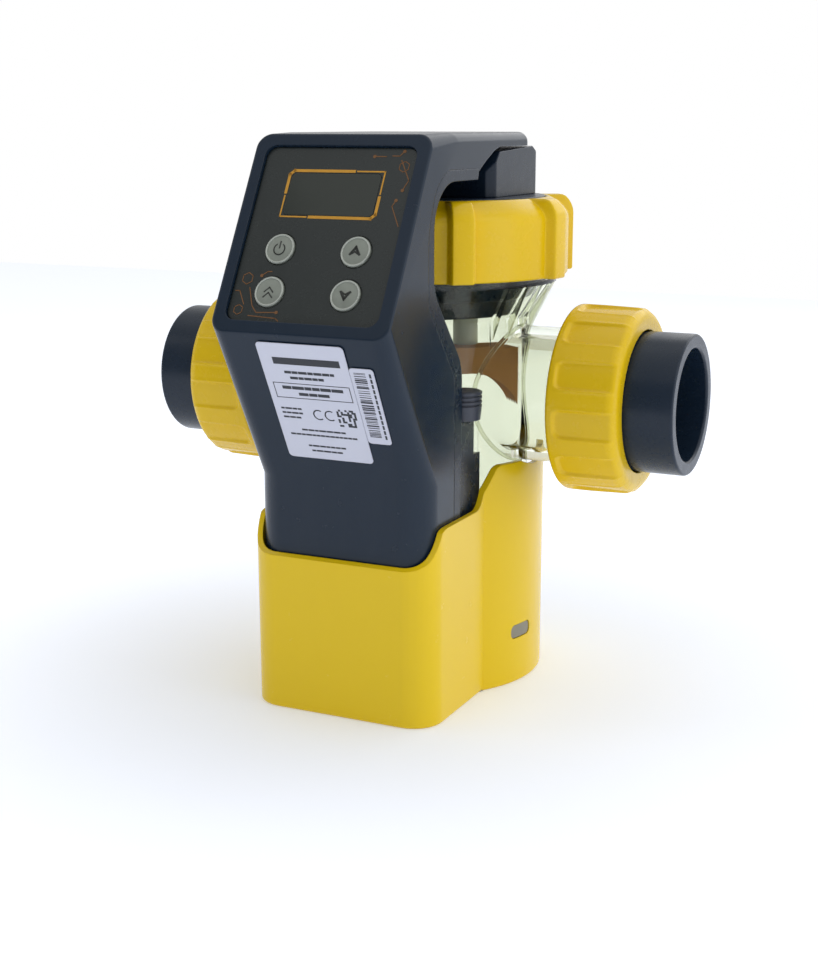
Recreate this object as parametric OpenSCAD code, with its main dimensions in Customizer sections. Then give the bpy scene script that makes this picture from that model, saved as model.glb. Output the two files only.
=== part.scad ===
// Salt chlorine generator for a swimming pool: a clear electrolysis cell between two
// pipe unions, standing in a moulded cradle together with its control unit.
// Millimetres. +Z up, -Y towards the keypad, +X towards the right-hand pipe.
// The origin is on the resting face, on the axis of the cell.

/* [Pipework] */
// height of the pipe axis above the resting face
pipe_z = 136; // [135:0.5:140]
// length over both tailpieces
overall_length = 260; // [256:1:272]
// outside diameter of the tailpiece spigot
spigot_d = 63; // [61:0.5:63.4]
// bore of the solvent socket
socket_d = 50.2; // [48:0.1:51]
// depth of the solvent socket
socket_depth = 31; // [24:0.5:32]
// diameter over the union nut's grip pads
union_nut_d = 84.4; // [83:0.2:88]
// grip pads round each union nut
union_pads = 12; // [8:1:16]

/* [Cell] */
// outside radius of the clear barrel
barrel_r = 49; // [47.5:0.1:49.2]
// wall of the clear barrel
barrel_wall = 3.5; // [3:0.1:4]
// outside radius of the clear port tubes
port_r = 31; // [30:0.2:31.4]
// stiffening fins over each port
fin_count = 6; // [4:1:8]
// electrode plates in the stack
plate_count = 5; // [3:2:7]
// pitch of the electrode plates
plate_pitch = 3.5; // [3.5:0.1:4]
// thickness of an electrode plate
plate_t = 1.2; // [0.8:0.1:1.5]
// turn of the electrode stack about the cell axis
stack_turn = 42; // [0:2:60]

/* [Top nut] */
// radius over the top nut's grip ribs
top_nut_r = 70.5; // [69.5:0.1:71]
// height of the top nut's grip ribs
top_rib_h = 4.5; // [3.5:0.1:4.7]
// underside of the top nut
top_nut_z = 190; // [189.5:0.1:190.5]
// height of the top nut
top_nut_h = 35; // [34.5:0.1:35.5]
// grip ribs round the top nut
top_ribs = 8; // [6:1:10]

/* [Cradle] */
// half width of the front box of the cradle
cradle_half_w = 45; // [44.9:0.1:46]
// distance of the front wall from the cell axis
cradle_front = 93.2; // [93.1:0.1:95]
// outside radius of the rear wall
cradle_rear_r = 56.5; // [56:0.1:57.5]
// height of the front wall
front_wall_h = 69.6; // [60:0.5:74]
// height of the side walls
side_wall_h = 87.8; // [84:0.2:92]
// height of the saddle walls under the ports
saddle_h = 106.6; // [104:0.2:107]
// height of the rear wall
rear_wall_h = 60; // [50:1:80]
// wall thickness of the cradle
cradle_wall = 2.6; // [2.2:0.1:2.6]

/* [Controller] */
// half width of the controller
ctrl_half_w = 42; // [41.2:0.1:42]
// height of the controller's flat top
ctrl_top = 253.7; // [253.5:0.1:256]
// rear end of the arm over the terminal cover
arm_rear = 24.6; // [20:0.2:28]
// wall thickness of the controller housing
ctrl_wall = 2.5; // [2:0.1:2.6]
// width of the tilted bezel
bezel_w = 82.4; // [80:0.2:82.8]
// length of the tilted bezel
bezel_l = 91.7; // [91.5:0.1:92]

/* [Keypad] */
// diameter of a push button
button_d = 13.4; // [12:0.2:14]
// distance of the buttons from the middle
button_x = 17.6; // [16:0.1:19]
// width of the display window
window_w = 42; // [36:0.5:46]
// height of the display window
window_h = 19.5; // [16:0.5:20.5]

/* [Hidden] */
$fn = 64;
half_l = overall_length / 2;
port_end = half_l - 40;
nut_rear = half_l - 54;
nut_front = half_l - 22;
flange_front = port_end + 6.1;
spigot_r = spigot_d / 2;
socket_r = socket_d / 2;
water_r = 22.5;
port_thread_r = 37;
nut_bore_r = 37.5;
union_r = union_nut_d / 2;
cell_floor_z = 10;
collar_r = 60.8;
collar_bore_r = 56.4;
head_seat_z = 210;
head_flange_h = 6.8;
head_disc_r = 55;
head_top_z = 225.3;
stack_top = 154;
stud_r = 2.6;
slip_z = head_seat_z + head_flange_h + 0.1;
lip_z = slip_z + 1.5;
tower_top_z = 247.3;
tower_front = 20.5;
tower_rear = 34.5;
pin_z = 238.4;
panel_top_y = -80.2;
panel_tilt = 29.25;
chin_y = -125;
chin_z = 173.7;
slant_turn = 117.55;
button_rows = [52.9, 72.1];
window_row = 27.6;
recess_w = 71;
recess_l = 79.8;
recess_row = 45.7;
lower_top_z = 106.6;
column_front = 90;
column_back = 53;
seam_y = -60.7;
badge_z = 25;
badge_turn = 12;
gland_y = -72;
gland_z = 142;

yellow = [0.86, 0.71, 0.13];
navy = [0.16, 0.20, 0.25];
clear = [0.86, 0.90, 0.78, 0.35];
copper = [0.52, 0.34, 0.22];
key_grey = [0.60, 0.62, 0.58];
black = [0.05, 0.05, 0.06];
board_green = [0.10, 0.30, 0.18];
metal = [0.72, 0.73, 0.74];

// points of an arc, degrees, from a0 to a1
function arc(c, r, a0, a1, n = 8) =
  [for (i = [0:n]) let (a = a0 + (a1 - a0) * i / n) [c[0] + r * cos(a), c[1] + r * sin(a)]];

// rectangle w by h about the centre with corners of radius r
module round_rect(w, h, r) {
  square([w - 2 * r, h], center = true);
  square([w, h - 2 * r], center = true);
  for (x = [-1, 1], y = [-1, 1])
    translate([x * (w / 2 - r), y * (h / 2 - r)])
      circle(r);
}

module tube(r_out, r_in, h) {
  difference() {
    cylinder(r = r_out, h = h);
    translate([0, 0, -1])
      cylinder(r = r_in, h = h + 2);
  }
}

// turns +Z into +X at the height of the pipe axis
module along_pipe(x) {
  translate([x, 0, pipe_z])
    rotate([0, 90, 0])
      children();
}

module other_side() {
  mirror([1, 0, 0])
    children();
}

// frame of the tilted keypad: x across, y up the panel from its top edge, z outwards
module on_panel(x = 0, row = 0, z = 0) {
  translate([0, panel_top_y, ctrl_top])
    rotate([90 - panel_tilt, 0, 0])
      translate([x, -row, z])
        children();
}

// frame of the slanted face under the chin
module on_slant(x = 0, row = 0, z = 0) {
  translate([0, chin_y, chin_z])
    rotate([slant_turn, 0, 0])
      translate([x, -row, z])
        children();
}

// side view shape (y, z) carried across the width
module side_cut(half_w = 100) {
  rotate([90, 0, 90])
    translate([0, 0, -half_w])
      linear_extrude(2 * half_w)
        children();
}

// ---- cradle ----

module cradle_plan(inset) {
  corner = 14 - inset;
  w = cradle_half_w - inset;
  f = cradle_front - inset;
  circle(cradle_rear_r - inset);
  translate([-w, -f + corner])
    square([2 * w, f - corner]);
  translate([-w + corner, -f])
    square([2 * (w - corner), 2 * corner]);
  for (x = [-1, 1])
    translate([x * (w - corner), -f + corner])
      circle(corner);
}

// everything above the cradle's stepped rim
module cradle_rim_void() {
  polygon(concat(
    [[-120, 200], [-120, front_wall_h]],
    arc([-97, front_wall_h + 12], 12, -90, -28, 8),
    arc([-73, side_wall_h - 6], 6, 158, 90, 6),
    arc([-41, side_wall_h + 4], 4, -90, -28, 5),
    arc([-25.4, saddle_h - 2.8], 2.8, 152, 90, 4),
    arc([25.4, saddle_h - 2.8], 2.8, 90, 20, 4),
    arc([44, rear_wall_h + 8], 8, 200, 270, 6),
    [[80, rear_wall_h], [80, 200]]));
}

module badge_shape(grow) {
  rotate([0, 0, -badge_turn])
    translate([50, 0, badge_z])
      rotate([90, 0, 90])
        linear_extrude(10)
          round_rect(14.6 + grow, 6.2 + grow, 2.2);
}

module base_cradle() {
  color(yellow)
    union() {
      difference() {
        linear_extrude(saddle_h)
          cradle_plan(0);
        translate([0, 0, 3])
          linear_extrude(saddle_h)
            cradle_plan(cradle_wall);
        side_cut()
          cradle_rim_void();
        along_pipe(-100)
          cylinder(r = port_r + 1.4, h = 200);
        for (m = [0, 1])
          mirror([m, 0, 0])
            difference() {
              badge_shape(0.3);
              cylinder(r = cradle_rear_r - 1.2, h = 60);
            }
        for (p = feet_places())
          translate([p[0], p[1], -1])
            cylinder(r = 7.1, h = 2.5);
      }
      translate([0, 0, 2.9])
        tube(46, 43, cell_floor_z - 2.9);
      for (a = [50, 90, 130, 200, 340])
        rotate([0, 0, a])
          translate([barrel_r + 0.6, -1, 2.9])
            cube([cradle_rear_r - barrel_r - 2.4, 2, 52]);
      for (x = [-30, 0, 30])
        translate([x - 1, -88, 2.9])
          cube([2, 30, 5]);
    }
}

function feet_places() = [[-31, -78], [31, -78], [-33, 30], [33, 30]];

module base_feet() {
  color(black)
    for (p = feet_places())
      translate([p[0], p[1], 0])
        cylinder(r = 7, h = 1.5);
}

module base_badges() {
  color([0.55, 0.53, 0.47])
    for (m = [0, 1])
      mirror([m, 0, 0])
        difference() {
          intersection() {
            badge_shape(0);
            cylinder(r = cradle_rear_r - 0.3, h = 60);
          }
          cylinder(r = cradle_rear_r - 1.1, h = 60);
        }
}

// ---- cell ----

module port_solid() {
  along_pipe(30)
    cylinder(r = port_r, h = nut_rear - 30 + 2);
  along_pipe(34)
    cylinder(r = port_r + 0.7, h = 10);
  intersection() {
    along_pipe(48)
      cylinder(r = port_r + 0.6, h = 26);
    translate([61, 0, pipe_z])
      rotate([90, 0, 0])
        tube(6.3, 5.3, 40);
  }
  along_pipe(nut_rear + 1)
    cylinder(r = port_thread_r - 1.2, h = port_end - nut_rear - 1);
  for (i = [0:2])
    along_pipe(nut_rear + 2.4 + 3.8 * i)
      cylinder(r = port_thread_r, h = 2);
}

// clear tube bonded to the outside of the barrel
module port_tube() {
  difference() {
    port_solid();
    along_pipe(20)
      cylinder(r = socket_r, h = half_l);
    along_pipe(port_end - 2.6)
      tube(30.6, 26.6, 3);
    cylinder(r = barrel_r + 0.03, h = head_seat_z);
  }
}

module cell_port_right() {
  color(clear)
    port_tube();
}

module cell_port_left() {
  other_side()
    cell_port_right();
}

module cell_body() {
  color(clear)
    difference() {
      union() {
        rotate_extrude()
          polygon([[0, cell_floor_z], [barrel_r - 2, cell_floor_z],
            [barrel_r, cell_floor_z + 2], [barrel_r, 171], [59, 186.5],
            [collar_r, 186.5], [collar_r, 189.6], [collar_r - 1.4, 190.4],
            [collar_r - 1.4, head_seat_z], [0, head_seat_z]]);
        for (i = [0:2])
          translate([0, 0, top_nut_z + 3 + 5 * i])
            cylinder(r = collar_r, h = 2.4);
        difference() {
          for (i = [0:fin_count - 1], side = [0, 180])
            rotate([0, 0, side + (i - (fin_count - 1) / 2) * 56 / (fin_count - 1)])
              rotate([90, 0, 0])
                translate([0, 0, -0.9])
                  linear_extrude(1.8)
                    polygon([[barrel_r - 1, 163], [barrel_r + 0.4, 163], [collar_r - 0.2, 186.6],
                      [barrel_r - 1, 186.6]]);
          along_pipe(-90)
            cylinder(r = port_r + 1, h = 180);
        }
      }
      rotate_extrude()
        polygon([[0, cell_floor_z + 4], [barrel_r - barrel_wall, cell_floor_z + 4],
          [barrel_r - barrel_wall, 170], [collar_bore_r - 1.4, 185],
          [collar_bore_r, 187], [collar_bore_r, 230], [0, 230]]);
      along_pipe(-90)
        cylinder(r = socket_r, h = 180);
    }
}

module electrode_head() {
  color(navy)
    difference() {
      rotate_extrude()
        polygon([[0, 172.3], [44.2, 172.3], [44.6, 172.7], [44.6, 179.6], [50.2, 180.4],
          [54.2, 186.6], [collar_bore_r - 0.3, 188.4],
          [collar_bore_r - 0.3, head_seat_z], [collar_r - 0.3, head_seat_z],
          [collar_r - 0.3, head_seat_z + head_flange_h], [head_disc_r, head_seat_z + head_flange_h],
          [head_disc_r, head_top_z], [0, head_top_z]]);
      translate([0, 0, 180])
        cylinder(r = 33, h = 60);
      translate([0, 0, 198])
        tube(70, 52.8, 4);
      in_stack()
        for (p = stud_places())
          translate([p[0], p[1], 160])
            cylinder(r = stud_r, h = 30);
    }
}

module head_oring() {
  color(black)
    translate([0, 0, 200])
      rotate_extrude()
        translate([54.55, 0])
          circle(1.75);
}

module in_stack() {
  rotate([0, 0, stack_turn])
    children();
}

function stud_places() = [for (k = [-1, 0, 1])
  [k * 22, k * (plate_count - 1) / 2 * plate_pitch]];

module electrode_studs() {
  color(metal)
    in_stack()
      for (p = stud_places())
        translate([p[0], p[1], stack_top]) {
          cylinder(r = stud_r, h = 34);
          translate([0, 0, 180 - stack_top])
            cylinder(r = 5.5, h = 4, $fn = 6);
        }
}

module electrode_plates() {
  color(copper)
    in_stack()
      for (i = [0:plate_count - 1])
        translate([0, (i - (plate_count - 1) / 2) * plate_pitch + plate_t / 2, 0])
          rotate([90, 0, 0])
            linear_extrude(plate_t)
              difference() {
                translate([-44, stack_top - 36])
                  square([88, 36]);
                translate([0, stack_top - 42.5])
                  round_rect(92, 60, 26);
              }
}

module plate_spacers() {
  color(copper)
    in_stack()
      for (x = [-39, 35], z = [137, 148], i = [1:plate_count - 1])
        translate([x, (i - (plate_count + 1) / 2) * plate_pitch + plate_t / 2, z])
          cube([4, plate_pitch - plate_t, 4]);
}

// frosted sleeves round the studs, from the head down to the plates
module stud_sleeves() {
  color([0.78, 0.82, 0.74, 0.6])
    in_stack()
      for (p = stud_places())
        translate([p[0], p[1], stack_top + 0.1])
          tube(6, stud_r + 0.1, 18);
}

module terminal_block(inset, bottom) {
  w = ctrl_half_w - inset;
  difference() {
    translate([0, (tower_rear - tower_front) / 2, bottom])
      linear_extrude(tower_top_z - inset - bottom)
        round_rect(2 * w, tower_front + tower_rear - 2 * inset, 4 - inset);
    side_cut()
      offset(delta = inset)
        polygon([[-30, 226], [-20.9, 236.4], [-13, 245.3], [27, 247.3], [35, 243.3], [50, 243.3],
          [50, 260], [-30, 260]]);
  }
}

module terminal_cover() {
  color(navy)
    difference() {
      terminal_block(0, head_top_z);
      terminal_block(2.2, head_top_z - 1);
      pin_holes(2);
    }
}

module terminal_pins() {
  color([0.80, 0.62, 0.25])
    for (x = [-1, 0, 1])
      translate([x * 14, -8, pin_z])
        rotate([90, 0, 0]) {
          cylinder(r = 2, h = 30);
          cylinder(r = 3.2, h = 4);
        }
}

module pin_holes(r) {
  for (x = [-1, 0, 1])
    translate([x * 14, -14, pin_z])
      rotate([90, 0, 0])
        cylinder(r = r, h = 30);
}

module flow_sensor() {
  color([0.36, 0.38, 0.42])
    translate([38.4, -42.6, 129.6]) {
      cylinder(r1 = 7.4, r2 = 8.1, h = 6.6);
      cylinder(r = 7.3, h = 13);
      for (i = [0:2])
        translate([0, 0, 7.4 + 2 * i])
          cylinder(r = 8.1, h = 1.2);
    }
}

module port_oring_right() {
  color(black)
    along_pipe(port_end - 1.3)
      rotate_extrude()
        translate([28.6, 0])
          circle(1.2);
}

module port_oring_left() {
  other_side()
    port_oring_right();
}

// ---- controller housing ----

// side view of the open space behind the column and under the arm
module rear_void() {
  polygon(concat(
    [[-column_back, -5], [-column_back, 154.8], [-79.4, 186], [-82, 192.5]],
    arc([-62, 213.8], 20, 180, 90, 10),
    [[-37.4, 233.8], [-36.5, 237.2], [-31, 240.5], [-18.8, 246], [-13, 247.5],
    [90, 247.5], [90, -5]]));
}

// side view of what the rounded rear end of the arm leaves out
module arm_end_void() {
  r = 5.5;
  polygon(concat(
    arc([arm_rear - r, ctrl_top - r], r, 90, 0, 5),
    [[arm_rear + 9, ctrl_top - r], [arm_rear + 9, ctrl_top + 9], [arm_rear - r, ctrl_top + 9]]));
}

// side view of the part of the housing that belongs to the back cover
module back_region() {
  polygon([[seam_y, -5], [seam_y, 151], [-87, 183], [-87, 214], [-80.5, 231],
    [-70, 238.5], [-36.3, 238.5], [-36.3, -5]]);
}

module bezel_plate(inset, depth) {
  r = 7 - inset;
  w = bezel_w / 2 - inset;
  for (x = [-1, 1], row = [7, bezel_l - 7])
    on_panel(x * (w - r), row, depth - 2)
      cylinder(r = r, h = 2, $fn = 32);
}

// the whole controller as one solid, its surface moved in by inset
module ctrl_body(inset, bezel_depth) {
  w = ctrl_half_w - inset;
  top = ctrl_top - inset;
  edge_r = 4.6 - inset / 2;
  front = column_front - inset;
  corner = 13 - inset;
  difference() {
    union() {
      hull() {
        bezel_plate(inset, bezel_depth);
        for (x = [-1, 1])
          translate([x * (w - edge_r), -58, top - edge_r])
            rotate([90, 0, 0])
              cylinder(r = edge_r, h = 2, $fn = 32);
        translate([-w, -74, 184])
          cube([2 * w, 1, 50]);
      }
      hull() {
        bezel_plate(inset, bezel_depth);
        ctrl_plan(lower_top_z, 1, w, front, corner);
        translate([-w, -column_back - 8, lower_top_z])
          cube([2 * w, 8, 48]);
        translate([-w, -80, 184])
          cube([2 * w, 4, 8]);
      }
      ctrl_plan(8 + inset, lower_top_z - 8 - inset + 0.5, w, front, corner);
      intersection() {
        translate([0, arm_rear - inset, 0])
          rotate([90, 0, 0])
            linear_extrude(arm_rear + 74)
              translate([0, 230])
                intersection() {
                  translate([0, top - 240])
                    round_rect(2 * w, 20, edge_r);
                  translate([-50, 0])
                    square([100, 40]);
                }
        linear_extrude(260)
          translate([0, -50])
            round_rect(2 * w, 2 * (50 + arm_rear - inset), 5);
      }
      translate([-w, -74, 200])
        cube([2 * w, 40, 40]);
    }
    side_cut()
      offset(delta = inset)
        rear_void();
    side_cut()
      offset(delta = inset)
        arm_end_void();
  }
}

// horizontal section of the lower column
module ctrl_plan(z, h, w, front, corner) {
  translate([0, 0, z])
    linear_extrude(h) {
      translate([-w, -front + corner])
        square([2 * w, front - corner - column_back + 2]);
      translate([-w + corner, -front])
        square([2 * (w - corner), 2 * corner]);
      for (x = [-1, 1])
        translate([x * (w - corner), -front + corner])
          circle(corner);
    }
}

function screw_places() = [for (x = [-1, 1], z = [24, 98]) [x * 29, z]];

module controller_shell() {
  color(navy)
    difference() {
      union() {
        difference() {
          ctrl_body(0, 0);
          ctrl_body(ctrl_wall, -5.5);
          side_cut()
            back_region();
          on_panel(0, recess_row, -3.5)
            linear_extrude(10)
              round_rect(recess_w, recess_l, 5);
          on_panel(0, recess_row, -14)
            linear_extrude(20)
              round_rect(recess_w - 5, recess_l - 5, 3);
        }
        for (p = screw_places())
          translate([p[0], seam_y - 0.1, p[1]])
            rotate([90, 0, 0])
              cylinder(r = 4, h = 27.5);
      }
      for (p = screw_places())
        translate([p[0], seam_y + 1, p[1]])
          rotate([90, 0, 0])
            cylinder(r = 1.5, h = 14);
      translate([-ctrl_half_w - 1, gland_y, gland_z])
        rotate([0, 90, 0])
          cylinder(r = 6.2, h = 6);
      pin_holes(2.8);
    }
}

module saddle_cheek() {
  difference() {
    union() {
      translate([33, -column_back - 0.5, 8])
        cube([7.5, 17.5, 121.6]);
      translate([33, -column_back - 0.5, 8])
        cube([7.5, 24.5, 104.4]);
    }
    translate([0, 0, -1])
      cylinder(r = barrel_r + 0.5, h = 200);
  }
}

module controller_back() {
  color([0.13, 0.16, 0.20])
    difference() {
      union() {
        difference() {
          intersection() {
            ctrl_body(0, 0);
            side_cut()
              back_region();
          }
          ctrl_body(ctrl_wall, -5.5);
        }
        saddle_cheek();
        other_side()
          saddle_cheek();
      }
      for (p = screw_places())
        translate([p[0], -column_back + 1, p[1]])
          rotate([90, 0, 0])
            cylinder(r = 1.9, h = 8);
      pin_holes(2.8);
    }
}

module cover_screws() {
  color(metal)
    for (p = screw_places())
      translate([p[0], -column_back, p[1]])
        rotate([90, 0, 0]) {
          cylinder(r = 1.5, h = 18);
          translate([0, 0, -2])
            difference() {
              cylinder(r = 3, h = 2);
              translate([-2.4, -0.4, -1])
                cube([4.8, 0.8, 1.8]);
              translate([-0.4, -2.4, -1])
                cube([0.8, 4.8, 1.8]);
            }
        }
}

// ---- controller inside ----

module control_board() {
  color(board_green)
    translate([-23, -71, 14])
      cube([46, 1.6, 130]);
}

module power_components() {
  color([0.20, 0.22, 0.28]) {
    for (x = [-12, 8])
      translate([x, -71, 36])
        rotate([90, 0, 0])
          cylinder(r = 7, h = 15);
    translate([-18, -87, 56])
      cube([36, 16, 26]);
    translate([-16, -85, 92])
      cube([14, 14, 20]);
    for (i = [0:4])
      translate([4 + i * 4, -79, 96])
        cube([2.4, 8, 12]);
  }
}

module heatsink() {
  color(metal)
    union() {
      translate([-21, -69.4, 40])
        cube([42, 3, 46]);
      for (i = [0:6])
        translate([-21 + i * 6.6, -66.6, 40])
          cube([2.4, 9, 46]);
    }
}

module cable_gland() {
  color(black)
    translate([-ctrl_half_w, gland_y, gland_z])
      rotate([0, -90, 0])
        difference() {
          union() {
            cylinder(r = 9, h = 3, $fn = 6);
            translate([0, 0, 3])
              cylinder(r = 7.6, h = 7);
            translate([0, 0, 10])
              cylinder(r1 = 7.6, r2 = 5.6, h = 3);
            translate([0, 0, -10])
              cylinder(r = 6, h = 10.5);
            translate([0, 0, -6.6])
              cylinder(r = 9, h = 4, $fn = 6);
          }
          translate([0, 0, -11])
            cylinder(r = 3.4, h = 30);
          translate([0, 0, 4])
            cylinder(r = 4.8, h = 6);
        }
}

module gland_seal() {
  color([0.15, 0.15, 0.15])
    translate([-ctrl_half_w - 4, gland_y, gland_z])
      rotate([0, -90, 0])
        tube(4.8, 3.2, 6);
}

// ---- keypad ----

module panel_gasket() {
  color(black)
    on_panel(0, recess_row, -3.5)
      linear_extrude(0.5)
        difference() {
          round_rect(recess_w - 0.4, recess_l - 0.4, 4.8);
          round_rect(recess_w - 5, recess_l - 5, 3);
        }
}

module keypad_panel() {
  color([0.20, 0.22, 0.21])
    on_panel(0, 0, -3)
      linear_extrude(1.4)
        difference() {
          translate([0, -recess_row])
            round_rect(recess_w - 0.4, recess_l - 0.4, 4.8);
          translate([0, -window_row])
            round_rect(window_w, window_h, 2);
          for (x = [-1, 1], row = button_rows)
            translate([x * button_x, -row])
              circle(button_d / 2 + 0.35);
        }
}

module display_window() {
  color([0.14, 0.16, 0.12, 0.6])
    on_panel(0, window_row, -2.9)
      linear_extrude(1.25)
        round_rect(window_w - 0.2, window_h - 0.2, 1.9);
}

module lcd_module() {
  color([0.22, 0.25, 0.18])
    on_panel(0, window_row, -9.3)
      translate([-25, -13, 0])
        cube([50, 26, 6]);
}

module display_board() {
  color(board_green)
    on_panel(0, recess_row, -10.9)
      translate([-31, -35, 0])
        cube([62, 70, 1.6]);
}

module key_switches() {
  color(metal)
    for (x = [-1, 1], row = button_rows)
      on_panel(x * button_x, row, -9.3) {
        translate([-3.1, -3.1, 0])
          cube([6.2, 6.2, 1]);
        cylinder(r = 1.8, h = 1.6);
      }
}

module push_button(side, row) {
  color(key_grey)
    on_panel(side * button_x, row, 0)
      union() {
        intersection() {
          translate([0, 0, -3.3])
            cylinder(r = button_d / 2, h = 4);
          translate([0, 0, -31])
            sphere(r = 30.4);
        }
        translate([0, 0, -4.5])
          cylinder(r = button_d / 2 + 1.2, h = 1.3);
        translate([0, 0, -7])
          cylinder(r = 2, h = 3);
      }
}

module button_power() {
  push_button(-1, button_rows[0]);
}

module button_boost() {
  push_button(-1, button_rows[1]);
}

module button_up() {
  push_button(1, button_rows[0]);
}

module button_down() {
  push_button(1, button_rows[1]);
}

module rating_label() {
  color([0.80, 0.81, 0.88])
    on_slant(0.7, 33, 0.05)
      linear_extrude(0.25)
        round_rect(40.6, 59.6, 2);
}

module serial_label() {
  color([0.80, 0.81, 0.88])
    on_slant(26.6, 32.4, 0.05)
      linear_extrude(0.25)
        round_rect(11, 38.4, 1.6);
}

// ---- nuts and tailpieces ----

module slip_ring() {
  color([0.85, 0.85, 0.82])
    translate([0, 0, slip_z])
      tube(collar_r - 0.4, collar_bore_r - 0.6, 1.3);
}

// outside of the top nut as turned, with a round shoulder
module top_nut_turned(r, shoulder) {
  translate([0, 0, top_nut_z])
    rotate_extrude()
      polygon(concat([[0, 0], [r, 0]],
        arc([r - shoulder, top_nut_h - 1 - shoulder], shoulder, 0, 72, 6),
        [[head_disc_r, top_nut_h], [0, top_nut_h]]));
}

module top_nut() {
  turn = -6.9;
  color(yellow)
    difference() {
      union() {
        top_nut_turned(top_nut_r - top_rib_h, 7.5);
        intersection() {
          top_nut_turned(top_nut_r, 7);
          for (i = [0:top_ribs - 1])
            rotate([0, 0, turn + i * 360 / top_ribs])
              translate([50, 0, top_nut_z])
                rotate([0, 0, 90])
                  linear_extrude(top_nut_h)
                    polygon([[-6.5, 0], [6.5, 0], [6.5, -15], [3.8, -22], [-3.8, -22], [-6.5, -15]]);
        }
      }
      translate([0, 0, top_nut_z - 1])
        cylinder(r = collar_r + 0.5, h = lip_z - top_nut_z + 1);
      translate([0, 0, top_nut_z])
        cylinder(r = head_disc_r + 0.6, h = 60);
      translate([0, 0, top_nut_z - 0.01])
        cylinder(r1 = collar_r + 1.5, r2 = collar_r + 0.5, h = 1);
    }
}

module tailpiece_right() {
  color(navy)
    along_pipe(port_end)
      difference() {
        union() {
          translate([0, 0, 0.1])
            cylinder(r = 35.6, h = 6);
          cylinder_from(6, nut_front - port_end + 1, spigot_r - 0.15);
          cylinder_from(nut_front - port_end + 1, half_l - port_end - 1.2, spigot_r);
          translate([0, 0, half_l - port_end - 1.2])
            cylinder(r1 = spigot_r, r2 = spigot_r - 0.8, h = 1.2);
        }
        translate([0, 0, half_l - port_end - socket_depth])
          cylinder(r = socket_r, h = socket_depth + 1);
        translate([0, 0, half_l - port_end - 1.2])
          cylinder(r1 = socket_r, r2 = socket_r + 1.2, h = 1.21);
        translate([0, 0, -1])
          cylinder(r = water_r, h = 60);
      }
}

module cylinder_from(z0, z1, r) {
  translate([0, 0, z0])
    cylinder(r = r, h = z1 - z0);
}

module tailpiece_left() {
  other_side()
    tailpiece_right();
}

module union_nut_right() {
  length = nut_front - nut_rear;
  color(yellow)
    along_pipe(nut_rear)
      difference() {
        rotate_extrude()
          polygon(concat(
            [[nut_bore_r, 0], [union_r - 1.4, 0], [union_r, 1.4], [union_r, 3],
            [union_r - 0.7, length - 5.6]],
            arc([union_r - 5.7, length - 5], 5, 0, 90, 6),
            [[spigot_r + 0.5, length], [spigot_r + 0.5, flange_front - nut_rear + 0.2],
            [nut_bore_r, flange_front - nut_rear + 0.2]]));
        for (i = [0:union_pads - 1])
          rotate([0, 0, (i + 0.26) * 360 / union_pads])
            translate([union_r - 1.5, 0, length / 2 + 3.5])
              rotate([90, 0, 90])
                linear_extrude(5)
                  round_rect(360 / union_pads * 0.42, length, 3.2);
      }
}

module union_nut_left() {
  other_side()
    union_nut_right();
}

base_cradle();
base_feet();
base_badges();
cell_body();
cell_port_right();
cell_port_left();
electrode_head();
head_oring();
terminal_cover();
terminal_pins();
electrode_studs();
stud_sleeves();
electrode_plates();
plate_spacers();
flow_sensor();
port_oring_right();
port_oring_left();
controller_shell();
controller_back();
cover_screws();
control_board();
power_components();
heatsink();
cable_gland();
gland_seal();
panel_gasket();
keypad_panel();
display_window();
lcd_module();
display_board();
key_switches();
rating_label();
serial_label();
button_power();
button_boost();
button_up();
button_down();
slip_ring();
top_nut();
tailpiece_right();
tailpiece_left();
union_nut_right();
union_nut_left();
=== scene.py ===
import math
import random

import bmesh
import bpy
from mathutils import Matrix, Vector


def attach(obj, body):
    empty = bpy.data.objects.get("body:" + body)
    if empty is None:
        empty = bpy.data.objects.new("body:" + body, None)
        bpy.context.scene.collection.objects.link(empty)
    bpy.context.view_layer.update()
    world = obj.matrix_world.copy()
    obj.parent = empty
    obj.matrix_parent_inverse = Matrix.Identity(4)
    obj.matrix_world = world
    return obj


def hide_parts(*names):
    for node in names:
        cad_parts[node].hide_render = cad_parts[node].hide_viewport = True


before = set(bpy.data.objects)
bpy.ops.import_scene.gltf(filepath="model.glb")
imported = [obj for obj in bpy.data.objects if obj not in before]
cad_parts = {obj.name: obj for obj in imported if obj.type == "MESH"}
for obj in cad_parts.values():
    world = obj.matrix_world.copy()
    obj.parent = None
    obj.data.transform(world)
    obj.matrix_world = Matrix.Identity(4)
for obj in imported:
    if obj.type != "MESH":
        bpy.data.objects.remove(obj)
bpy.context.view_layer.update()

mm = 0.001

# view, floor and light

studio = {
    "azimuth": 25.6,
    "elevation": 12.8,
    "distance": 0.7634,
    "target": (-0.0089, 0.0, 0.0885),
    "lens": 58.93,
    "frontGlow": 0.28,
    "rightGlow": 0.62,
    "rearGlow": 0.8,
    # floor glow, dimmer close to the object and full further out: painted shadow around the base on a
    # glowing floor
    "floorGlowWithPaintedShadow": (0.22, 0.4),
    "paintedShadowReach": (0.1, 0.32),
    "floorSize": 3.4,
}


def backVector(azimuth, elevation):
    a, e = math.radians(azimuth), math.radians(elevation)
    return Vector((math.sin(a) * math.cos(e), -math.cos(a) * math.cos(e), math.sin(e)))


def placeCamera():
    lens = bpy.data.cameras.new("camera")
    lens.lens = studio["lens"]
    lens.clip_start = 0.01
    camera = bpy.data.objects.new("camera", lens)
    bpy.context.scene.collection.objects.link(camera)
    back = backVector(studio["azimuth"], studio["elevation"])
    camera.location = Vector(studio["target"]) + back * studio["distance"]
    camera.rotation_euler = (-back).to_track_quat("-Z", "Y").to_euler()
    bpy.context.scene.camera = camera


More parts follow.
